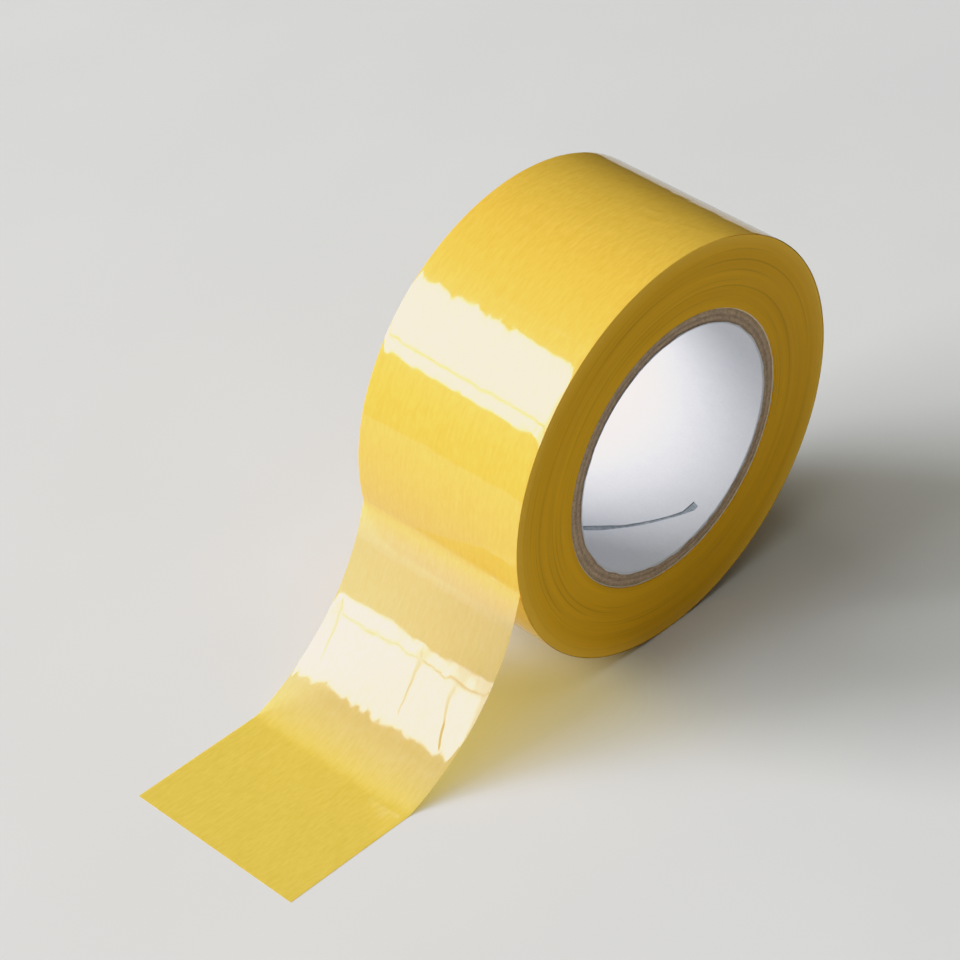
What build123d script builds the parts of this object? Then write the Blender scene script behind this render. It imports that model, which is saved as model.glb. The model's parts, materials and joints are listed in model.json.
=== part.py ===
"""Roll of glossy yellow film tape on a spiral-wound chipboard core, with its free end pulled off it.

The frame is +Z up. The origin is the centre of the core's bore, halfway across the tape, and the roll's axis
runs along Y. The roll stands on its tread. Its free end leaves it on the -X side, curves down and lies flat
on the surface that the tread stands on.
"""
import os
from math import cos, degrees, radians, sin

from build123d import *

# Driving dimensions, in mm and degrees.
ROLL_R = 65.0  # outside of the last turn of tape
TAPE_WIDTH = 60.0
TAPE_T = 0.12  # film and adhesive together
TURN_CLEARANCE = 0.08  # radial gap in which the last turn slides round the winding

BORE_R = 38.1  # 76.2 mm bore, the 3 inch core
LINER_T = 0.25
PLY_T = 0.87
PLY_COUNT = 5
WRAP_T = 0.3
CORE_RECESS = 0.4  # the core is cut this much short of the tape on each side

PEEL_ANGLE = 12.0  # the peel line, below the roll's -X side
PEEL_SLOPE = 74.0  # how steeply the free end leaves the roll, below the horizontal
LANDING_SLOPE = 21.4  # how steeply it reaches the surface that it lies on
SWEEP_R = 69.0  # long bend between those two slopes
LANDING_R = 10.0  # tight bend where the film meets the surface
TIP_X = -153.0  # cut end
FOLD_SHARE = 0.5  # share of the long bend above the middle fold line
FOLD_GAP = 0.15  # bare film on each side of a fold line, so that the lengths can fold over
TUCK_ANGLE = 1.5  # slit between the peel line and the buried end of the last turn

# Worked out from the driving dimensions.
CORE_LENGTH = TAPE_WIDTH - 2 * CORE_RECESS
TURN_MIDDLE_R = ROLL_R - TAPE_T / 2
WINDING_R = ROLL_R - TAPE_T - TURN_CLEARANCE
FIRST_PLY_R = BORE_R + LINER_T
WRAP_R = FIRST_PLY_R + PLY_COUNT * PLY_T
CORE_R = WRAP_R + WRAP_T
FLAT_DEPTH = ROLL_R - TAPE_T / 2  # middle of the film where it lies flat, below the roll's axis

# Profiles are drawn in the roll's own plane, in X and Z, and extruded to both sides.
PROFILE_PLANE = Plane.XZ


def heading(slope):
    """Direction of film that runs away from the roll at this slope below the horizontal."""
    return Vector(-cos(radians(slope)), -sin(radians(slope)))


def bend_run(radius, upper_slope, lower_slope):
    """How far a bend between two slopes carries the film, in X and Z."""
    across = sin(radians(upper_slope)) - sin(radians(lower_slope))
    down = cos(radians(lower_slope)) - cos(radians(upper_slope))
    return Vector(-across, -down) * radius


# The free end's fold lines, on the film's middle surface, in X and Z.
peel_line = Vector(-cos(radians(PEEL_ANGLE)), -sin(radians(PEEL_ANGLE))) * TURN_MIDDLE_R
sweep_run = bend_run(SWEEP_R, PEEL_SLOPE, LANDING_SLOPE)
landing_run = bend_run(LANDING_R, LANDING_SLOPE, 0)
straight_drop = peel_line.Y + FLAT_DEPTH + sweep_run.Y + landing_run.Y
straight_run = heading(PEEL_SLOPE) * (straight_drop / sin(radians(PEEL_SLOPE)))
sweep_start = peel_line + straight_run
fold_slope = PEEL_SLOPE + (LANDING_SLOPE - PEEL_SLOPE) * FOLD_SHARE
middle_fold = sweep_start + bend_run(SWEEP_R, PEEL_SLOPE, fold_slope)
landing_fold = sweep_start + sweep_run
sweep_gap = degrees(FOLD_GAP / SWEEP_R)
landing_gap = degrees(FOLD_GAP / LANDING_R)

os.makedirs("parts", exist_ok=True)

# ---- Core: white liner, grey chipboard plies and kraft wrap, wound and glued into one tube ----
with BuildPart() as core_liner:
    with BuildSketch(PROFILE_PLANE):
        Circle(FIRST_PLY_R)
        Circle(BORE_R, mode=Mode.SUBTRACT)
    extrude(amount=CORE_LENGTH / 2, both=True)
core_liner.part.label = "core_liner"
export_step(core_liner.part, "parts/core_liner.step")

for index in range(PLY_COUNT):
    ply_r = FIRST_PLY_R + index * PLY_T
    ply_name = f"core_ply_{index + 1}"
    with BuildPart() as core_ply:
        with BuildSketch(PROFILE_PLANE):
            Circle(ply_r + PLY_T)
            Circle(ply_r, mode=Mode.SUBTRACT)
        extrude(amount=CORE_LENGTH / 2, both=True)
    core_ply.part.label = ply_name
    export_step(core_ply.part, f"parts/{ply_name}.step")

with BuildPart() as core_wrap:
    with BuildSketch(PROFILE_PLANE):
        Circle(CORE_R)
        Circle(WRAP_R, mode=Mode.SUBTRACT)
    extrude(amount=CORE_LENGTH / 2, both=True)
core_wrap.part.label = "core_wrap"
export_step(core_wrap.part, "parts/core_wrap.step")

# ---- Tape: the tight winding ----
with BuildPart() as wound_tape:
    with BuildSketch(PROFILE_PLANE):
        Circle(WINDING_R)
        Circle(CORE_R, mode=Mode.SUBTRACT)
    extrude(amount=TAPE_WIDTH / 2, both=True)
wound_tape.part.label = "wound_tape"
export_step(wound_tape.part, "parts/wound_tape.step")

# ---- Tape: the last turn, from the peel line over the top of the roll and back under the free end ----
turn_start = 180 + PEEL_ANGLE - degrees(FOLD_GAP / TURN_MIDDLE_R)
turn_size = 360 - TUCK_ANGLE
with BuildPart() as outer_turn:
    with BuildSketch(PROFILE_PLANE):
        with BuildLine():
            CenterArc((0, 0), TURN_MIDDLE_R, turn_start, -turn_size)
        trace(line_width=TAPE_T)
    extrude(amount=TAPE_WIDTH / 2, both=True)
outer_turn.part.label = "outer_turn"
export_step(outer_turn.part, "parts/outer_turn.step")

# ---- Tape: the free end, in three lengths that fold where the film flexes ----
with BuildPart() as tail_upper:
    with BuildSketch(PROFILE_PLANE):
        with BuildLine():
            upper_run = Line(peel_line + heading(PEEL_SLOPE) * FOLD_GAP, sweep_start)
            upper_turn = PEEL_SLOPE - fold_slope - sweep_gap
            JernArc(upper_run @ 1, upper_run % 1, SWEEP_R, -upper_turn)
        trace(line_width=TAPE_T)
    extrude(amount=TAPE_WIDTH / 2, both=True)
tail_upper.part.label = "tail_upper"
export_step(tail_upper.part, "parts/tail_upper.step")

with BuildPart() as tail_middle:
    with BuildSketch(PROFILE_PLANE):
        with BuildLine():
            middle_slope = fold_slope - sweep_gap
            middle_start = sweep_start + bend_run(SWEEP_R, PEEL_SLOPE, middle_slope)
            middle_turn = middle_slope - LANDING_SLOPE - sweep_gap
            JernArc(middle_start, heading(middle_slope), SWEEP_R, -middle_turn)
        trace(line_width=TAPE_T)
    extrude(amount=TAPE_WIDTH / 2, both=True)
tail_middle.part.label = "tail_middle"
export_step(tail_middle.part, "parts/tail_middle.step")

with BuildPart() as tail_end:
    with BuildSketch(PROFILE_PLANE):
        with BuildLine():
            end_slope = LANDING_SLOPE - landing_gap
            end_start = landing_fold + bend_run(LANDING_R, LANDING_SLOPE, end_slope)
            landing_bend = JernArc(end_start, heading(end_slope), LANDING_R, -end_slope)
            Line(landing_bend @ 1, (TIP_X, -FLAT_DEPTH))
        trace(line_width=TAPE_T)
    extrude(amount=TAPE_WIDTH / 2, both=True)
tail_end.part.label = "tail_end"
export_step(tail_end.part, "parts/tail_end.step")
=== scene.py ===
"""Looks of a glossy yellow masking tape roll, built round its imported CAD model.

Every piece is a mesh made here, in metres, in the CAD model's frame: +Z up, the roll's axis along Y, the
free end towards -X. "Slope" is how far the film's heading is turned below -X, and "phi" is the angle round
the roll's axis from +X towards +Z. A "run" is a distance along the film from where it leaves the winding.
"""
import json
import math

import bpy
import numpy as np
from mathutils import Matrix, Vector


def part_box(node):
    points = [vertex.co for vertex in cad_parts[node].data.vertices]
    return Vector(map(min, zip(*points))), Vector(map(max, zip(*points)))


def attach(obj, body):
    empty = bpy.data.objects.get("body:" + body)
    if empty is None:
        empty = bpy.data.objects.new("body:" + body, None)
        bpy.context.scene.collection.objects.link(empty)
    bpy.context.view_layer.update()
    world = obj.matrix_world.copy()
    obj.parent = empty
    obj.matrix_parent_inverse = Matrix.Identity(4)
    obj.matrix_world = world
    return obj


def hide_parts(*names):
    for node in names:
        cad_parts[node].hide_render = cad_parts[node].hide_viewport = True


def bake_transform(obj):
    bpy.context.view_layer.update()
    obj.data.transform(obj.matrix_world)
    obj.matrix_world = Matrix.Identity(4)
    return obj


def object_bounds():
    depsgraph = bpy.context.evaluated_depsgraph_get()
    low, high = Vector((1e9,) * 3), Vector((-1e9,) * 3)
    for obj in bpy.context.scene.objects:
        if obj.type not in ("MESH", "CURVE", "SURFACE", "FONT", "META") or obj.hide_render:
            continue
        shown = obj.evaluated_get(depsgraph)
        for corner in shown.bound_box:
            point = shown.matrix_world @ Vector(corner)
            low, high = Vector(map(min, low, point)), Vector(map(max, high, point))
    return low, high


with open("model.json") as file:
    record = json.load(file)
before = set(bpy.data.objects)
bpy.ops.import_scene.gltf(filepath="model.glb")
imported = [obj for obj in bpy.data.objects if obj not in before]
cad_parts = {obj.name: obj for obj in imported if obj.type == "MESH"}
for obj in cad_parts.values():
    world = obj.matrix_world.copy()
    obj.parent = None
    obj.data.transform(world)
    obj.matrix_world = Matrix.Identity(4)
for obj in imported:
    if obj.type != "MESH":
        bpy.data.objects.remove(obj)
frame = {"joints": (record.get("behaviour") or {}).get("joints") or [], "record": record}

MM = 0.001
cad_low, cad_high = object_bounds()

# ---- Sizes and places that the frame gives ----
joint_at = {joint["name"]: np.array(joint["pos_m"])[[0, 2]] for joint in frame["joints"]}
roll_r = -cad_low.z
half_width = cad_high.y
tip_x = cad_low.x
core_half_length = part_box("core_liner")[1].y
bore_r = next(m for m in frame["record"]["mounts"] if m["name"] == "core_bore")["dims"]["r_mm"] * MM
core_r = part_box("core_wrap")[1].x
film_t = 2 * (roll_r - np.linalg.norm(joint_at["tail_peel"]))

# ---- The film's path ----
PEEL_SLOPE = math.radians(74)  # straight away from the roll
LANDING_SLOPE = math.radians(21.4)  # reaching the surface
PEEL_BEND_R = 5 * MM  # the film's small bend where it leaves the winding
TUCK_ANGLE = math.radians(1.5)  # between the peel line and the buried end of the last turn
PATH_STEP = 0.05 * MM

# Runs where the free film is divided into pieces.
UPPER_END = 18.5 * MM
MIDDLE_END = 53 * MM


def heading(slope):
    """Direction of travel, in X and Z, of film that heads away from the roll at this slope."""
    return np.stack([-np.cos(slope), -np.sin(slope)], -1)


def shiny_side(slope):
    """Normal, in X and Z, of the film's glossy side at this slope."""
    return np.stack([-np.sin(slope), np.cos(slope)], -1)


def bend_run(radius, upper_slope, lower_slope):
    """How far a bend between two slopes carries the film, in X and Z."""
    across = math.sin(upper_slope) - math.sin(lower_slope)
    down = math.cos(lower_slope) - math.cos(upper_slope)
    return np.array([-across, -down]) * radius


def peel_bend_centre():
    """Centre of the small bend that touches both the last turn's circle and the straight film below it."""
    turn_r = roll_r - film_t / 2
    along = heading(PEEL_SLOPE)
    corner = joint_at["tail_peel"] + shiny_side(PEEL_SLOPE) * PEEL_BEND_R
    across = corner @ along
    reach = -across + math.sqrt(across**2 + (turn_r + PEEL_BEND_R) ** 2 - corner @ corner)
    return corner + along * reach, reach


def film_path():
    """Runs, points in X and Z, and slopes along the film's middle, from its buried end to its tip."""
    turn_r = roll_r - film_t / 2
    middle_slope = (PEEL_SLOPE + LANDING_SLOPE) / 2
    sweep_chord = np.linalg.norm(joint_at["landing_flex"] - joint_at["tail_flex"])
    sweep_r = sweep_chord / (2 * math.sin((middle_slope - LANDING_SLOPE) / 2))
    landing_r = (joint_at["landing_flex"][1] + turn_r) / (1 - math.cos(LANDING_SLOPE))
    sweep_start = joint_at["tail_flex"] - bend_run(sweep_r, PEEL_SLOPE, middle_slope)

    centre, reach = peel_bend_centre()
    peel_phi = math.atan2(joint_at["tail_peel"][1], joint_at["tail_peel"][0]) + 2 * math.pi
    leave_phi = math.atan2(centre[1], centre[0]) + 2 * math.pi
    tuck_phi = peel_phi - 2 * math.pi + TUCK_ANGLE
    leave_slope = leave_phi - math.pi / 2
    straight = np.linalg.norm(sweep_start - joint_at["tail_peel"]) - reach
    lengths = [
        turn_r * (leave_phi - tuck_phi),
        PEEL_BEND_R * (leave_slope - PEEL_SLOPE),
        straight,
        sweep_r * (PEEL_SLOPE - LANDING_SLOPE),
        landing_r * LANDING_SLOPE,
    ]
    flat_start = joint_at["landing_flex"] + bend_run(landing_r, LANDING_SLOPE, 0)
    lengths.append(flat_start[0] - tip_x)
    knots = np.concatenate([[0], np.cumsum(lengths)])
    slopes = [tuck_phi - math.pi / 2, leave_slope, PEEL_SLOPE, PEEL_SLOPE, LANDING_SLOPE, 0, 0]

    travelled = np.linspace(0, knots[-1], int(knots[-1] / PATH_STEP))
    slope = np.interp(travelled, knots, slopes)
    middle = (slope[1:] + slope[:-1]) / 2
    moves = heading(middle) * np.diff(travelled)[:, None]
    first = turn_r * np.array([math.cos(tuck_phi), math.sin(tuck_phi)])
    points = first + np.concatenate([[[0, 0]], np.cumsum(moves, 0)])
    return travelled - lengths[0], points, slope


path_runs, path_points, path_slopes = film_path()
TURN_START = path_runs[0]
TIP = path_runs[-1]


def on_film(run):
    """Point on the film's middle surface, in X and Z, and the slope there."""
    point = np.stack([np.interp(run, path_runs, path_points[:, k]) for k in (0, 1)], -1)
    return point, np.interp(run, path_runs, path_slopes)


def run_at_phi(phi):
    """Run of the place on the last turn at this angle, in degrees, round the roll's axis."""
    return np.interp(math.radians(phi) - math.pi / 2, path_slopes[path_runs <= 0], path_runs[path_runs <= 0])


# ---- Mesh helpers ----
def lattice_noise(u, v, seed):
    """Smooth noise between -1 and 1, with one random value at each pair of whole numbers."""
    table = np.random.RandomState(seed).uniform(-1, 1, (256, 256))
    u, v = np.broadcast_arrays(u, v)
    iu, iv = np.floor(u).astype(int), np.floor(v).astype(int)
    fu, fv = u - iu, v - iv
    fu, fv = fu**3 * (fu * (6 * fu - 15) + 10), fv**3 * (fv * (6 * fv - 15) + 10)
    low = table[iu % 256, iv % 256] * (1 - fu) + table[(iu + 1) % 256, iv % 256] * fu
    high = table[iu % 256, (iv + 1) % 256] * (1 - fu) + table[(iu + 1) % 256, (iv + 1) % 256] * fu
    return low * (1 - fv) + high * fv


def round_noise(phi, cells, other, seed):
    """Noise that closes on itself round a full turn, with about this many cells in it."""
    radius = cells / (2 * math.pi)
    return lattice_noise(
        radius * np.cos(phi) + other * 0.731 + 61.7, radius * np.sin(phi) - other * 0.683 + 83.1, seed
    )


def make_object(name, points, faces, materials, face_materials=None, crease_angle=35):
    """A smooth-shaded mesh object, with sharp edges where faces meet at more than crease_angle degrees."""
    mesh = bpy.data.meshes.new(name)
    mesh.from_pydata(np.asarray(points).reshape(-1, 3).tolist(), [], faces)
    for material in materials:
        mesh.materials.append(material)
    if face_materials is not None:
        mesh.polygons.foreach_set("material_index", np.asarray(face_materials, np.int32))
    mesh.polygons.foreach_set("use_smooth", np.ones(len(mesh.polygons), bool))
    mesh.set_sharp_from_angle(angle=math.radians(crease_angle))
    mesh.update()
    made = bpy.data.objects.new(name, mesh)
    bpy.context.scene.collection.objects.link(made)
    return made


def grid_faces(rows, columns, first=0, flip=False):
    """Quads of a grid of points that are numbered row by row."""
    r, c = np.meshgrid(np.arange(rows - 1), np.arange(columns - 1), indexing="ij")
    a = (first + r * columns + c).ravel()
    quads = np.stack([a, a + columns, a + columns + 1, a + 1], -1)
    return quads[:, ::-1] if flip else quads


def sheet_solid(name, outer, inner, materials):
    """Closed thin solid between two matching grids of points. Its outer face has the first material."""
    rows, columns = outer.shape[:2]
    half = rows * columns
    faces = [grid_faces(rows, columns), grid_faces(rows, columns, half, flip=True)]
    index = np.arange(half).reshape(rows, columns)
    rim = np.concatenate([index[0, :-1], index[:-1, -1], index[-1, :0:-1], index[:0:-1, 0]])
    following = np.roll(rim, -1)
    faces.append(np.stack([rim, following, following + half, rim + half], -1))
    where = np.concatenate([np.zeros(len(faces[0])), np.ones(len(faces[1]) + len(rim))])
    points = np.concatenate([outer.reshape(-1, 3), inner.reshape(-1, 3)])
    return make_object(name, points, np.concatenate(faces).tolist(), materials, where)


def ring_solid(name, points, materials):
    """Closed ring of cross-sections, each a closed loop of points. Its inner wall has the last material."""
    turns, loop = points.shape[:2]
    index = np.arange(turns * loop).reshape(turns, loop)
    index = np.pad(index, ((0, 1), (0, 1)), mode="wrap")
    quads = np.stack([index[:-1, :-1], index[1:, :-1], index[1:, 1:], index[:-1, 1:]], -1)
    where = np.zeros((turns, loop))
    where[:, -1] = len(materials) - 1
    return make_object(name, points, quads.reshape(-1, 4).tolist(), materials, where.ravel())


def even_steps(start, end, step):
    """Places from start to end, about a step apart, with one very short step at each end."""
    inside = np.linspace(start, end, max(2, round((end - start) / step)) + 1)[1:-1]
    short = 0.06 * MM
    return np.concatenate([[start, start + short], inside, [end - short, end]])


# ---- Node helpers ----
def new_material(name):
    """An empty material's node tree, and the socket that its surface goes into."""
    material = bpy.data.materials.new(name)
    material.use_nodes = True
    material.node_tree.nodes.clear()
    output = material.node_tree.nodes.new("ShaderNodeOutputMaterial")
    return material, material.node_tree, output.inputs["Surface"]


def add_node(tree, kind, inputs=None, **settings):
    """A node with its settings, and with its inputs set to values or linked to other nodes' outputs."""
    node = tree.nodes.new("ShaderNode" + kind)
    for key, value in settings.items():
        setattr(node, key, value)
    for key, value in (inputs or {}).items():
        if isinstance(value, bpy.types.NodeSocket):
            tree.links.new(value, node.inputs[key])
        else:
            node.inputs[key].default_value = value
    return node


def math_node(tree, operation, *values):
    """Output of a Math node."""
    return add_node(tree, "Math", dict(enumerate(values)), operation=operation).outputs[0]


def mix_colours(tree, share, first, second, blend_type="MIX"):
    """Output of a colour Mix node. Its colour sockets are the ones numbered 6 and 7."""
    node = add_node(tree, "Mix", data_type="RGBA", blend_type=blend_type)
    for key, value in ((0, share), (6, first), (7, second)):
        if isinstance(value, bpy.types.NodeSocket):
            tree.links.new(value, node.inputs[key])
        else:
            node.inputs[key].default_value = value
    return node.outputs[2]


def ramp(tree, value, *stops):
    """Output of a colour ramp, as (place, grey level or colour) stops."""
    node = add_node(tree, "ValToRGB", {"Fac": value})
    elements = node.color_ramp.elements
    while len(elements) < len(stops):
        elements.new(0.5)
    for element, (place, level) in zip(elements, stops):
        element.position = place
        element.color = (level, level, level, 1) if isinstance(level, (int, float)) else (*level, 1)
    return node.outputs["Color"]


def noise(tree, place, stretch, detail=2.0, roughness=0.5, shift=0.0):
    """Noise at a place, whose cells are stretch long, in the place's own units, along its three axes."""
    mapping = add_node(tree, "Mapping", {"Vector": place, "Location": (shift, shift, shift)})
    mapping.inputs["Scale"].default_value = [1 / length for length in stretch]
    settings = {"Vector": mapping.outputs[0], "Scale": 1.0, "Detail": detail, "Roughness": roughness}
    return add_node(tree, "TexNoise", settings).outputs["Fac"]


def bump(tree, height, distance, normal=None):
    """Normal that a height between 0 and 1 gives, over a distance in metres."""
    inputs = {"Height": height, "Distance": distance, "Strength": 1.0}
    if normal is not None:
        inputs["Normal"] = normal
    return add_node(tree, "Bump", inputs).outputs["Normal"]


# ---- Materials ----
# The film's look changes along its run: wound on, close to the winding, free, and landed on the table.
# Real film is the same all along, so the changes in its yellow are painted light and shade: paler and
# lighter where the film hangs free, deeper where it lies on the roll or the table. These values were fitted
# to one view, and aren't measured.
FILM_STAGES_AT = [-1.5, 3.0, 12.0, 57.0, 73.0]
FILM_YELLOW_AS_LIT = [(0.80, 0.495, 0.065), (0.95, 0.74, 0.20), (1.0, 0.905, 0.53), (1.0, 0.785, 0.155)]
THROUGH_FILM = [(1.0, 0.90, 0.50), (1.0, 0.90, 0.47), (1.0, 0.885, 0.48), (1.0, 0.90, 0.47)]
CLEAR_SHARE = 0.80  # of the light that goes through, this much goes straight on
THROUGH_SHARE = [0.06, 0.45, 0.76, 0.47]  # of the light that falls on the film, this much goes on into it
# The gloss belongs to the share that doesn't go in, so its index is higher where that share is small.
GLOSS_INDEX = [1.465, 1.68, 2.2, 1.71]
GLOSS_INDEX_SCALE = 4.0  # a colour ramp holds values up to 1
ADHESIVE_THROUGH_SHARE = 0.97
FILM_PLACE = "film_place"  # each film vertex's run and place across, in mm
# Distances from the roll's axis, in mm, between which the side face is painted lighter and more orange: a
# painted glow for light carried in from the tread.
PAINTED_GLOW_FROM_TO = (58.0, 64.7)


def by_stage(tree, place, values, scale=1.0):
    """Colours or numbers that follow the film's stages. A scale keeps numbers below 1 inside the ramp."""
    run = add_node(tree, "SeparateXYZ", {"Vector": place}).outputs["X"]
    first, last = FILM_STAGES_AT[0], FILM_STAGES_AT[-1]
    along = add_node(tree, "MapRange", {"Value": run, "From Min": first, "From Max": last}).outputs[0]
    chosen = [*values[:3], *values[2:]]
    stops = [((at - first) / (last - first), value) for at, value in zip(FILM_STAGES_AT, chosen)]
    if scale == 1.0:
        return ramp(tree, along, *stops)
    scaled = ramp(tree, along, *[(at, value / scale) for at, value in stops])
    return math_node(tree, "MULTIPLY", scaled, scale)


def film_colour(tree, place):
    """Yellow of the film's stages, as painted light and shade, with soft mottling and faint streaks along
    it.
    """
    mottle = noise(tree, place, (3.2, 0.9, 1), detail=4, roughness=0.6)
    streaks = noise(tree, place, (14, 1.6, 1), detail=2, shift=31)
    blended = math_node(tree, "MULTIPLY_ADD", streaks, 0.3, math_node(tree, "MULTIPLY", mottle, 0.7))
    tone = ramp(tree, blended, (0.36, (0.90, 0.865, 0.68)), (0.64, 1.0))
    return mix_colours(tree, 1.0, by_stage(tree, place, FILM_YELLOW_AS_LIT), tone, "MULTIPLY")


def film_relief(tree, place):
    """Normal of the film's fine drawn texture: short ripples along it, and grain."""
    ripples = noise(tree, place, (6.5, 0.9, 1), detail=2, roughness=0.5)
    grain = noise(tree, place, (1.1, 0.8, 1), detail=1, shift=17)
    broad = bump(tree, ripples, 0.014 * MM)
    return bump(tree, grain, 0.0020 * MM, broad)


def through_film(tree, place, normal):
    """Light that goes through the film, some of it scattered."""
    colour = by_stage(tree, place, THROUGH_FILM)
    scattered = add_node(tree, "BsdfTranslucent", {"Color": colour, "Normal": normal})
    straight = add_node(tree, "BsdfTransparent", {"Color": colour})
    shares = {0: CLEAR_SHARE, 1: scattered.outputs[0], 2: straight.outputs[0]}
    return add_node(tree, "MixShader", shares).outputs[0]


def glossy_film():
    """Shiny side of the film: clear gloss over a slight haze, with light coming through where it is free."""
    material, tree, surface = new_material("glossy_film")
    attribute = add_node(tree, "Attribute", attribute_name=FILM_PLACE)
    place = attribute.outputs["Vector"]
    normal = film_relief(tree, place)
    inputs = {
        "Base Color": film_colour(tree, place),
        "Roughness": 0.42,
        "IOR": 1.45,
        "Specular IOR Level": 0.15,
        "Coat Weight": 1.0,
        "Coat Roughness": 0.06,
        "Coat IOR": by_stage(tree, place, GLOSS_INDEX, scale=GLOSS_INDEX_SCALE),
        "Normal": normal,
        "Coat Normal": normal,
    }
    body = add_node(tree, "BsdfPrincipled", inputs)
    share = by_stage(tree, place, THROUGH_SHARE)
    mixed = add_node(tree, "MixShader", {0: share, 1: body.outputs[0], 2: through_film(tree, place, normal)})
    tree.links.new(mixed.outputs[0], surface)
    return material


def adhesive_film():
    """Sticky side and cut edges of the film: the same yellow, less glossy, letting more light through."""
    material, tree, surface = new_material("adhesive_film")
    place = add_node(tree, "Attribute", attribute_name=FILM_PLACE).outputs["Vector"]
    patches = noise(tree, place, (1.6, 1.3, 1), detail=3, shift=53)
    rough = ramp(tree, patches, (0.35, 0.30), (0.7, 0.46))
    normal = bump(tree, patches, 0.012 * MM)
    colour = film_colour(tree, place)
    body = add_node(tree, "BsdfPrincipled", {"Base Color": colour, "Roughness": rough, "Normal": normal})
    through = through_film(tree, place, normal)
    mixed = add_node(tree, "MixShader", {0: ADHESIVE_THROUGH_SHARE, 1: body.outputs[0], 2: through})
    tree.links.new(mixed.outputs[0], surface)
    return material


def polar_place(tree):
    """Distance from the roll's axis in mm, and a vector of it and the direction round the roll."""
    place = add_node(tree, "TexCoord").outputs["Object"]
    flat = add_node(tree, "VectorMath", {0: place, 1: (1, 0, 1)}, operation="MULTIPLY").outputs[0]
    length = add_node(tree, "VectorMath", {0: flat}, operation="LENGTH").outputs["Value"]
    radius = math_node(tree, "MULTIPLY", length, 1 / MM)
    away = add_node(tree, "VectorMath", {0: flat}, operation="NORMALIZE").outputs[0]
    parts = add_node(tree, "SeparateXYZ", {"Vector": away})
    ring = add_node(tree, "CombineXYZ", {"X": radius, "Y": parts.outputs["X"], "Z": parts.outputs["Z"]})
    return radius, ring.outputs[0]


def wound_film():
    """Slit edges of the winding: ochre, with fine concentric lines, and a painted glow, lighter and more
    orange, in the last turns.
    """
    material, tree, surface = new_material("wound_film")
    radius, ring = polar_place(tree)
    fine = noise(tree, ring, (0.22, 0.9, 0.9), detail=2, roughness=0.7)
    broad = noise(tree, ring, (2.4, 1.6, 1.6), detail=3, shift=11)
    lines = noise(tree, ring, (0.55, 1.4, 1.4), detail=1, shift=29)
    tone = math_node(tree, "MULTIPLY_ADD", fine, 0.35, math_node(tree, "MULTIPLY", broad, 0.65))
    share = ramp(tree, tone, (0.36, 0.0), (0.64, 1.0))
    colour = mix_colours(tree, share, (0.79, 0.395, 0.004, 1), (0.90, 0.465, 0.008, 1))
    dark = ramp(tree, lines, (0.30, 0.80), (0.40, 1.0))
    colour = mix_colours(tree, 1.0, colour, dark, "MULTIPLY")
    # Painted glow: lighter, more orange colour towards the rim, standing in for light carried in from the
    # tread.
    first, last = PAINTED_GLOW_FROM_TO
    painted_glow = add_node(tree, "MapRange", {"Value": radius, "From Min": first, "From Max": last}).outputs[0]
    painted_glow = math_node(tree, "POWER", painted_glow, 2.2)
    colour = mix_colours(tree, painted_glow, colour, (1.0, 0.575, 0.05, 1))
    normal = bump(tree, fine, 0.006 * MM)
    inputs = {
        "Base Color": colour,
        "Roughness": 0.45,
        "Specular IOR Level": 0.12,
        "Specular Tint": (1.0, 0.6, 0.1, 1),
        "Normal": normal,
    }
    body = add_node(tree, "BsdfPrincipled", inputs)
    tree.links.new(body.outputs[0], surface)
    return material


def fibrous(name, dark, light, fibre, relief, roughness):
    """Paper or board: colour that changes with matted fibres, which also stand up a little."""
    material, tree, surface = new_material(name)
    place = add_node(tree, "TexCoord").outputs["Object"]
    fibres = noise(tree, place, [length * MM for length in fibre], detail=4, roughness=0.65)
    blotches = noise(tree, place, [length * MM * 5 for length in fibre], detail=2, shift=7)
    tone = math_node(tree, "MULTIPLY_ADD", fibres, 0.7, math_node(tree, "MULTIPLY", blotches, 0.3))
    share = ramp(tree, tone, (0.34, 0.0), (0.66, 1.0))
    inputs = {
        "Base Color": mix_colours(tree, share, (*dark, 1), (*light, 1)),
        "Roughness": roughness,
        "Normal": bump(tree, fibres, relief * MM),
    }
    body = add_node(tree, "BsdfPrincipled", inputs)
    body.inputs["Specular IOR Level"].default_value = 0.25
    tree.links.new(body.outputs[0], surface)
    return material


film_face = glossy_film()
film_back = adhesive_film()
winding_edge = wound_film()
liner_paper = fibrous("liner_paper", (0.72, 0.715, 0.755), (0.765, 0.76, 0.80), (0.5, 1.2, 0.5), 0.03, 0.7)
# Dark blue-grey on the first ply's inner wall, which shows only through the liner's slit.
seam_paper = fibrous("seam_paper", (0.19, 0.21, 0.24), (0.44, 0.47, 0.51), (0.7, 1.6, 0.7), 0.05, 0.8)
kraft_paper = fibrous("kraft_paper", (0.82, 0.72, 0.54), (0.94, 0.87, 0.70), (0.3, 0.3, 0.3), 0.05, 0.75)
board_tones = [
    (0.25, 0.17, 0.11),
    (0.30, 0.21, 0.14),
    (0.24, 0.165, 0.11),
    (0.31, 0.22, 0.145),
    (0.27, 0.19, 0.12),
]
boards = [
    fibrous(f"chipboard_{k + 1}", tone, tuple(2.5 * c for c in tone), (0.26, 0.4, 0.26), 0.10, 0.85)
    for k, tone in enumerate(board_tones)
]

# ---- Film: three lengths that meet edge to edge ----
CELL_ALONG = 1.0 * MM
CELL_ALONG_FREE = 0.6 * MM
CELL_ACROSS = 0.62 * MM
EDGE_REACH = 1.1 * MM  # the slit edges are rounded over this distance
EDGE_DROP = 0.06 * MM
# Faint creases on top of the roll, as phi in degrees and place across in mm, at both ends of each.
WOUND_CREASES = [
    (79.4, -14.2, 75.6, -26.7),
    (79.5, -4.1, 77.8, -11.5),
    (72.0, 5.5, 68.5, 1.0),
    (66.0, -2.5, 62.5, -8.0),
    (83.5, -8.5, 80.5, -19.0),
]
WOUND_CREASE = (0.09 * MM, 0.5 * MM)  # height and half width
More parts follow.
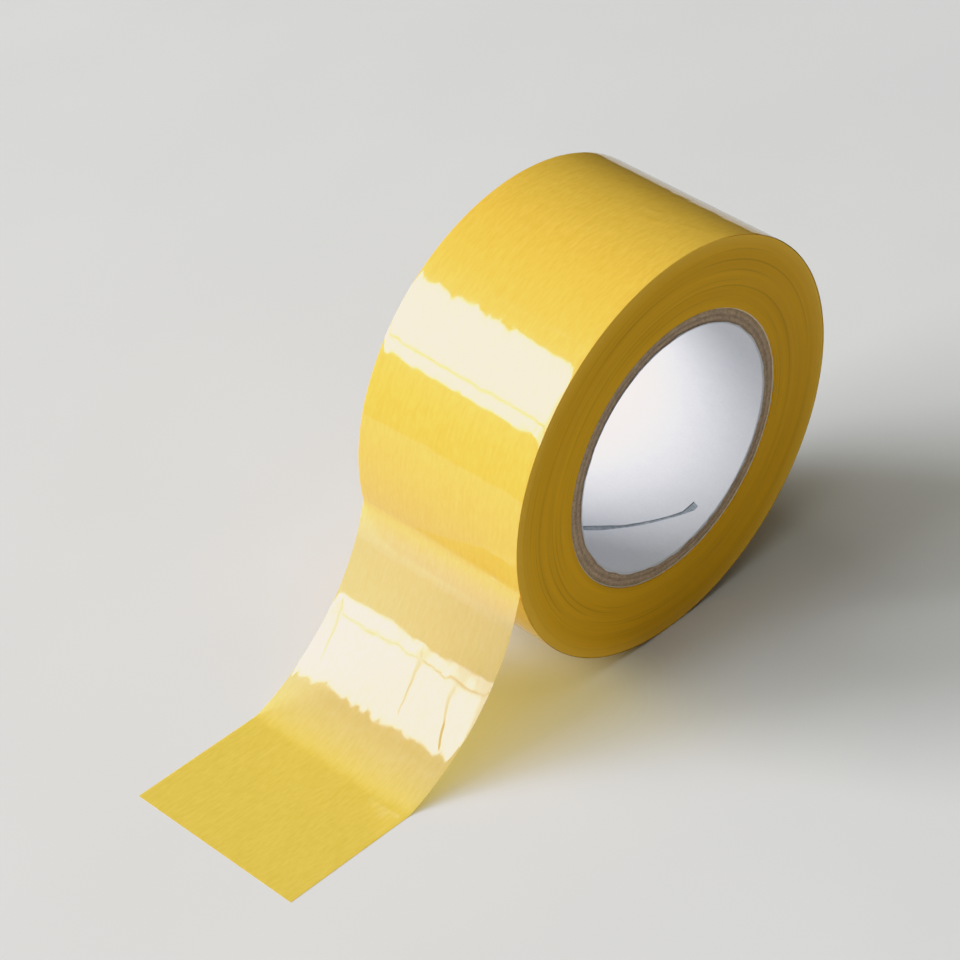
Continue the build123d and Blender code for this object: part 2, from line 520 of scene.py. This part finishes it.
# Sharper creases along the free film, as run and place across in mm, at both ends of each.
FREE_CREASES = [(30.5, 27.6, 51.0, 24.6), (30.0, -3.2, 51.5, -6.8), (38.0, -17.6, 53.0, -24.0)]
FREE_CREASE = (0.12 * MM, 0.7 * MM)
CREASE_BANDS = [(23.6, 28.3), (-8.0, -2.2), (-25.6, -16.6)]  # places across, in mm, that need a fine mesh
BAND_CELL = 0.12 * MM
CREASE_WANDER = 0.35 * MM


def crease_height(run, across, creases, height, half_width_of_crease):
    """Height of the creases, each a narrow ridge along a line that fades at both ends."""
    total = np.zeros(np.broadcast(run, across).shape)
    for run_a, across_a, run_b, across_b in creases:
        start = np.array([run_a, across_a]) * MM
        along = np.array([run_b, across_b]) * MM - start
        length = np.linalg.norm(along)
        along /= length
        travelled = (run - start[0]) * along[0] + (across - start[1]) * along[1]
        aside = (run - start[0]) * along[1] - (across - start[1]) * along[0]
        aside = aside + CREASE_WANDER * lattice_noise(run / (2.7 * MM), start[1] / MM, 6)
        fade = np.sqrt(np.sin(np.pi * np.clip(travelled / length, 0, 1)))
        total += height * fade * np.exp(-((aside / half_width_of_crease) ** 2))
    return total


def film_height(run, across):
    """How far the shiny side stands off an even film: waves, ripples, creases and rounded slit edges."""
    u, v = run / MM, across / MM
    waves = 0.026 * lattice_noise(u / 8.3 + v / 40, v / 4.6 - u / 90, 3)
    ripples = 0.015 * lattice_noise(u / 4.9 - v / 17, v / 2.1 + u / 61, 4)
    free = np.clip(u / 10, 0, 1)
    sag = 0.030 * free * lattice_noise(u / 13 - v / 31, v / 14 + u / 47, 5)
    edge = np.clip(1 - (half_width - np.abs(across)) / EDGE_REACH, 0, 1) ** 2
    wound = [(run_at_phi(a) / MM, b, run_at_phi(c) / MM, d) for a, b, c, d in WOUND_CREASES]
    creases = crease_height(run, across, wound, *WOUND_CREASE)
    creases = creases + crease_height(run, across, FREE_CREASES, *FREE_CREASE)
    return (waves + ripples + sag) * MM + creases - EDGE_DROP * edge


def places_across(bands):
    """Places across the film for the mesh, closer together in the bands and at the slit edges."""
    near_edge = np.array([0, 0.25, 0.6, 1.1]) * MM
    inside = np.linspace(-half_width + 1.7 * MM, half_width - 1.7 * MM, round(2 * half_width / CELL_ACROSS))
    for low, high in bands:
        inside = inside[(inside < low * MM) | (inside > high * MM)]
    fine = [np.arange(low * MM + BAND_CELL, high * MM - BAND_CELL, BAND_CELL) for low, high in bands]
    return np.sort(np.concatenate([near_edge - half_width, inside, half_width - near_edge, *fine]))


def film_piece(name, start, end, cell, bands=()):
    """One length of film, as a closed thin solid that knows its place along and across the film."""
    runs = even_steps(start, end, cell)
    across = places_across(bands)
    middle, slope = on_film(runs)
    normal = shiny_side(slope)
    height = film_t / 2 + film_height(runs[:, None], across[None, :])
    outer, inner = (np.empty((len(runs), len(across), 3)) for _ in range(2))
    for grid, offset in ((outer, height), (inner, np.full_like(height, -film_t / 2))):
        grid[..., 0] = middle[:, None, 0] + normal[:, None, 0] * offset
        grid[..., 1] = across[None, :]
        grid[..., 2] = middle[:, None, 1] + normal[:, None, 1] * offset
    made = sheet_solid(name, outer, inner, [film_face, film_back])
    place = np.stack(np.broadcast_arrays(runs[:, None] / MM, across[None, :] / MM, 0.0), -1).reshape(-1, 3)
    both_sides = np.tile(place, (2, 1)).astype(np.float32)
    made.data.attributes.new(FILM_PLACE, "FLOAT_VECTOR", "POINT")
    made.data.attributes[FILM_PLACE].data.foreach_set("vector", both_sides.ravel())
    return made


last_turn = film_piece("film_last_turn", TURN_START, UPPER_END, CELL_ALONG)
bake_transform(last_turn)
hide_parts("outer_turn", "tail_upper")

free_middle = film_piece("film_free_middle", UPPER_END, MIDDLE_END, CELL_ALONG_FREE, CREASE_BANDS)
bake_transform(free_middle)
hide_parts("tail_middle")

free_end = film_piece("film_free_end", MIDDLE_END, TIP, CELL_ALONG_FREE)
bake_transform(free_end)
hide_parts("tail_end")

# ---- Winding: a spiral strip of film edge on each side, joined by the tread and the seat on the core ----
TURNS = 182
STEPS_PER_TURN = 180
WINDING_GAP = 0.03 * MM  # between the winding's tread and the last turn
SIDE_INSET = 0.10 * MM
TREAD_INSET = 0.02 * MM  # the winding's tread, further in


def side_wander(radius, phi, seed):
    """How far the film's slit edge wanders sideways as the roll is wound, at several scales."""
    turn = (radius - core_r) / MM
    broad = 0.035 * round_noise(phi, 4, turn / 3.1, seed)
    middle = 0.020 * round_noise(phi, 6, turn / 0.9, seed + 1)
    fine = 0.009 * round_noise(phi, 9, turn / 0.34, seed + 2)
    return (broad + middle + fine) * MM


def winding():
    """The wound tape under the last turn."""
    outer_r = roll_r - film_t - WINDING_GAP - TREAD_INSET
    k = np.arange((TURNS + 1) * STEPS_PER_TURN + 1)
    phi = k * 2 * math.pi / STEPS_PER_TURN
    radius = core_r + (outer_r - core_r) * np.clip(k / k[-1], 0, 1)
    sides = []
    for sign, seed in ((-1, 20), (1, 40)):
        y = sign * (half_width - SIDE_INSET + side_wander(radius, phi, seed))
        sides.append(np.stack([radius * np.cos(phi), y, radius * np.sin(phi)], -1))
    count, step = len(k), STEPS_PER_TURN
    near = np.arange(count - step - 1)
    front = np.stack([near, near + 1, near + step + 1, near + step], -1)
    back = front[:, ::-1] + count
    first, last = np.arange(step), np.arange(count - step - 1, count - 1)
    seat = np.stack([first, first + count, first + 1 + count, first + 1], -1)
    tread = np.stack([last, last + 1, last + 1 + count, last + count], -1)
    steps = np.array([
        [0, step, step + count, count],
        [count - 1, count - 1 - step, 2 * count - 1 - step, 2 * count - 1],
    ])
    faces = np.concatenate([front, back, seat, tread, steps])
    return make_object("wound_film", np.concatenate(sides), faces.tolist(), [winding_edge])


wound = winding()
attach(wound, "roll")
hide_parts("wound_tape")

# ---- Core: liner, plies and wrap ----
RING_STEPS = 720
END_CELLS = 4
END_RELIEF = 0.09 * MM  # fibres standing up on the cut ends
PLY_INSET = 0.20 * MM  # the plies are cut this much short of the liner's torn edge


def ring_edge(radius, phi):
    """Radius of a glue line between two layers, a little uneven as board is."""
    label = round(radius / (0.01 * MM))
    coarse = 0.045 * MM * round_noise(phi, 60, label * 0.37, 7)
    fine = 0.02 * MM * round_noise(phi, 200, label, 8)
    return radius + coarse + fine


def end_relief(radius, phi, sign):
    """Height of the fibres on a cut end."""
    seed = 60 if sign < 0 else 70
    fibres = round_noise(phi, 420, radius / (0.16 * MM), seed)
    tufts = round_noise(phi, 110, radius / (0.4 * MM), seed + 1)
    return END_RELIEF * (0.5 * fibres + 0.5 * tufts)


def core_layer(name, inner_r, outer_r, materials, inner_even=False, outer_even=False):
    """One glued layer of the core, a tube with fibrous cut ends."""
    phi = np.linspace(0, 2 * math.pi, RING_STEPS, endpoint=False)[:, None]
    inner_line = inner_r + 0 * phi if inner_even else ring_edge(inner_r, phi)
    outer_line = outer_r + 0 * phi if outer_even else ring_edge(outer_r, phi)
    share = np.linspace(0, 1, END_CELLS + 1)[None, :]
    radius = inner_line + (outer_line - inner_line) * share
    ends = []
    for sign in (-1, 1):
        inset = 0 if outer_even else PLY_INSET
        y = sign * (core_half_length - inset - END_RELIEF + end_relief(radius, phi, sign))
        ends.append(np.stack([radius * np.cos(phi), y, radius * np.sin(phi)], -1))
    return ring_solid(name, np.concatenate([ends[0], ends[1][:, ::-1]], 1), materials)


layers = [(f"core_ply_{k + 1}", [board], "chipboard") for k, board in enumerate(boards)]
# The first ply's inner wall takes the dark blue-grey that shows through the liner's slit.
layers[0][1].append(seam_paper)
layers.append(("core_wrap", [kraft_paper], "kraft_paper"))
layer_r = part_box("core_liner")[1].x
for node_name, layer_materials, slot_name in layers:
    next_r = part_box(node_name)[1].x
    layer = core_layer(
        node_name.replace("core_", "layer_"), layer_r, next_r, layer_materials,
        inner_even=node_name == "core_ply_1", outer_even=node_name == "core_wrap",
    )
    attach(layer, "roll")
    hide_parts(node_name)
    layer_r = next_r

LINER_ROWS = 200
LINER_COLUMNS = 130
SEAM_PHI = math.radians(-102.9)  # at SEAM_Y
SEAM_Y = -4.6 * MM
SEAM_TWIST = math.radians(-2.01) / MM  # turn of the seam for each metre along the bore
SEAM_CLOSED_Y = -24.2 * MM  # the slit is closed between here and the front end
SEAM_SLIT = 3.3 * MM
TEAR_LENGTH = 3.2 * MM
TEAR_WIDTH = 2.9 * MM
BURR_HEIGHT = 0.18 * MM  # the liner's torn ends are turned outwards over this height
BURR_REACH = 0.7 * MM


def liner():
    """White paper strip wound as a helix, whose two edges leave an uneven slit and one small tear."""
    outer_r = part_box("core_liner")[1].x
    rows = np.linspace(-core_half_length, core_half_length, LINER_ROWS)
    near_tear = np.arange(SEAM_CLOSED_Y - 0.2 * MM, SEAM_CLOSED_Y + TEAR_WIDTH, 0.1 * MM)
    burr_rows = core_half_length - BURR_HEIGHT * np.array([1, 0.75, 0.5, 0.25])
    rows = rows[(rows < near_tear[0]) | (rows > near_tear[-1])]
    rows = np.sort(np.concatenate([rows, near_tear, burr_rows, -burr_rows]))
    share = np.linspace(0, 1, LINER_COLUMNS)
    share = share - 0.13 * np.sin(2 * math.pi * share)  # closer columns near the slit
    ragged = 0.09 * MM * lattice_noise(rows / (0.9 * MM), 0.0, 81)
    ragged = ragged + 0.05 * MM * lattice_noise(rows / (0.31 * MM), 0.0, 82)
    slit = SEAM_SLIT * (0.9 + 0.4 * lattice_noise(rows / (6 * MM), 3.0, 83)) + ragged
    slit = np.where(rows < SEAM_CLOSED_Y, 0.03 * MM, np.clip(slit, 1.5 * MM, None))
    into_tear = (rows - SEAM_CLOSED_Y) / TEAR_WIDTH
    tear = TEAR_LENGTH * np.interp(into_tear, [0, 0.7, 1], [0, 1, 0])
    seam = SEAM_PHI + SEAM_TWIST * (rows - SEAM_Y)
    start = seam + (slit / 2 + tear) / bore_r
    end = seam + 2 * math.pi - slit / 2 / bore_r
    phi = start[:, None] + (end - start)[:, None] * share[None, :]
    nicks = 0.10 * MM * np.abs(round_noise(phi, 90, 0.0, 84))
    nicks = nicks + 0.05 * MM * np.abs(round_noise(phi, 260, 0.0, 85))
    nearness = (np.abs(rows) / core_half_length) ** 60
    y = rows[:, None] - np.sign(rows)[:, None] * nicks * nearness[:, None]
    lifted = np.clip(1 - (core_half_length - np.abs(rows)) / BURR_HEIGHT, 0, 1)[:, None]
    torn = 0.55 + 0.30 * round_noise(phi, 46, 0.0, 86) + 0.35 * round_noise(phi, 150, 0.0, 87)
    burr = BURR_REACH * np.clip(torn, 0, 1) * lifted**1.5
    faces = []
    for flat_radius in (bore_r, outer_r - 0.01 * MM):
        radius = flat_radius + burr
        faces.append(np.stack([radius * np.cos(phi), y, radius * np.sin(phi)], -1))
    return sheet_solid("liner_strip", faces[0], faces[1], [liner_paper, liner_paper])


strip = liner()
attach(strip, "roll")
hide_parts("core_liner")

# ---- Floor ----
TABLE_R = 0.50  # what the gloss reflects ends here, and beyond it the gloss reflects darkness
TABLE_EDGE = 0.40  # how near that end comes to the roll, towards the window
FLOOR_R = 7.0
FLOOR_DROP = 0.04 * MM  # keeps the floor clear of the film that lies on it
FLOOR_SIDES = 96
WINDOW_AZIMUTH = math.radians(142.5)  # from +X towards +Y, the way in which the table is offset
towards_window = np.array([math.cos(WINDOW_AZIMUTH), math.sin(WINDOW_AZIMUTH)])


def floor_paint():
    """Plain pale tabletop, with barely visible unevenness of tone."""
    material, tree, surface = new_material("pale_floor")
    place = add_node(tree, "TexCoord").outputs["Object"]
    cloud = noise(tree, place, (0.09, 0.07, 0.1), detail=3)
    share = ramp(tree, cloud, (0.3, 0.0), (0.7, 1.0))
    colour = mix_colours(tree, share, (0.635, 0.635, 0.64, 1), (0.655, 0.655, 0.66, 1))
    body = add_node(tree, "BsdfPrincipled", {"Base Color": colour, "Roughness": 0.7})
    body.inputs["Specular IOR Level"].default_value = 0.3
    tree.links.new(body.outputs[0], surface)
    return material


def floor_circle(radius):
    """Points of a level circle round the middle of the table."""
    turn = np.linspace(0, 2 * math.pi, FLOOR_SIDES, endpoint=False)
    middle = towards_window * (TABLE_EDGE - TABLE_R)
    z = np.full(FLOOR_SIDES, cad_low.z - FLOOR_DROP)
    return np.stack([middle[0] + radius * np.cos(turn), middle[1] + radius * np.sin(turn), z], -1)


def floor():
    """A round tabletop, and the rest of the floor round it, which doesn't show in the gloss."""
    material = floor_paint()
    k = np.arange(FLOOR_SIDES)
    following = (k + 1) % FLOOR_SIDES
    ring = np.stack([k, k + FLOOR_SIDES, following + FLOOR_SIDES, following], -1).tolist()
    table = make_object("table", floor_circle(TABLE_R), [k.tolist()], [material])
    circles = np.concatenate([floor_circle(TABLE_R), floor_circle(FLOOR_R)])
    around = make_object("floor", circles, ring, [material])
    around.visible_glossy = False


floor()

# ---- Light: a window in two bright parts, a pale ceiling and a dim room ----
WINDOW_DISTANCE = 6.0
# Nearest and farthest edge of each part, in degrees from +X towards +Y, and its radiance.
WINDOW_PARTS = [(119.0, 147.0, 14.0), (147.0, 172.0, 6.2)]
# Lowest and highest edge of each pane, in degrees above the horizon, and its share of the full radiance.
PANES = [(15.3, 20.9, 1.0), (21.8, 45.0, 1.0), (51.6, 52.0, 0.12)]
WINDOW_COLOUR = (0.965, 0.98, 1.0)
CEILING_SIDE = 4.5
CEILING_PLACE = Vector((-1.9, 0.9, 3.3))
CEILING_RADIANCE = 1.25
ROOM_RADIANCE = 0.10
ROOM_COLOUR = (1.0, 0.93, 0.80)


def lit_panel(name, place, facing, width, height, radiance, colour):
    """One even light that faces a direction. The camera doesn't see it."""
    light = bpy.data.lights.new(name, "AREA")
    light.shape = "RECTANGLE"
    light.size = width
    light.size_y = height
    light.energy = radiance * math.pi * width * height
    light.color = colour
    lamp = bpy.data.objects.new(name, light)
    lamp.location = place
    lamp.rotation_mode = "QUATERNION"
    lamp.rotation_quaternion = (-facing).to_track_quat("Z", "Y")
    lamp.visible_camera = False
    bpy.context.scene.collection.objects.link(lamp)
    return lamp


def window():
    """Upright lit panes that face the roll."""
    for part, (near, far, radiance) in enumerate(WINDOW_PARTS):
        middle = math.radians((near + far) / 2)
        away = Vector((math.cos(middle), math.sin(middle), 0))
        width = 2 * WINDOW_DISTANCE * math.tan(math.radians((far - near) / 2))
        for pane, (low, high, share) in enumerate(PANES):
            bottom, top = (WINDOW_DISTANCE * math.tan(math.radians(edge)) for edge in (low, high))
            place = away * WINDOW_DISTANCE + Vector((0, 0, (bottom + top) / 2))
            name = f"window_{part + 1}_pane_{pane + 1}"
            lit_panel(name, place, -away, width, top - bottom, share * radiance, WINDOW_COLOUR)


def room():
    """Soft light from above and dim light from all round, neither of which shows in the gloss."""
    down = Vector((0, 0, -1))
    side = CEILING_SIDE
    ceiling = lit_panel("ceiling", CEILING_PLACE, down, side, side, CEILING_RADIANCE, ROOM_COLOUR)
    ceiling.visible_glossy = False
    world = bpy.data.worlds.new("room")
    world.use_nodes = True
    world.node_tree.nodes["Background"].inputs["Color"].default_value = (*ROOM_COLOUR, 1)
    world.node_tree.nodes["Background"].inputs["Strength"].default_value = ROOM_RADIANCE
    world.cycles_visibility.glossy = False
    bpy.context.scene.world = world


window()
room()

# ---- Camera ----
CAMERA_AZIMUTH = math.radians(-46.073)
CAMERA_ELEVATION = math.radians(38.387)
CAMERA_ROLL = math.radians(-0.659)
CAMERA_DISTANCE = 964.03 * MM
CAMERA_TARGET = Vector((-47.563 * MM, 0, 0.687 * MM))
CAMERA_LENS = 131.25
CAMERA_SENSOR = 36.0


def camera():
    """From above, between the roll's front face and its free end, with a long lens."""
    flat = math.cos(CAMERA_ELEVATION)
    back = Vector((
        math.sin(CAMERA_AZIMUTH) * flat, -math.cos(CAMERA_AZIMUTH) * flat, math.sin(CAMERA_ELEVATION)
    ))
    right = (-back).cross(Vector((0, 0, 1))).normalized()
    up = right.cross(-back)
    level = Matrix((right, up, back)).transposed()
    turned = level @ Matrix.Rotation(CAMERA_ROLL, 3, "Z")
    data = bpy.data.cameras.new("camera")
    data.lens = CAMERA_LENS
    data.sensor_width = CAMERA_SENSOR
    made = bpy.data.objects.new("camera", data)
    made.matrix_world = Matrix.Translation(CAMERA_TARGET + back * CAMERA_DISTANCE) @ turned.to_4x4()
    bpy.context.scene.collection.objects.link(made)
    bpy.context.scene.camera = made


camera()

# ---- Tone: straight up to a knee, then a soft shoulder that keeps highlights creamy ----
TONE_KNEE = 0.80
TONE_ROOM = (0.12, 0.055, 0.04)  # how far above the knee the shoulder may rise, in red, green and blue
TONE_TOP = 4.0  # scene brightness where the shoulder ends


def tone():
    """Standard view with the shoulder as its curves."""
    settings = bpy.context.scene.view_settings
    settings.view_transform = "Standard"
    settings.use_curve_mapping = True
    mapping = settings.curve_mapping
    mapping.use_clip = True
    mapping.clip_max_x = TONE_TOP
    for curve, room_above in zip(mapping.curves, TONE_ROOM):
        curve.points[1].location = (TONE_KNEE, TONE_KNEE)
        for bright in np.geomspace(TONE_KNEE + 0.06, TONE_TOP, 9):
            risen = room_above * (1 - math.exp((TONE_KNEE - bright) / room_above))
            curve.points.new(bright, TONE_KNEE + risen)
    mapping.update()


tone()
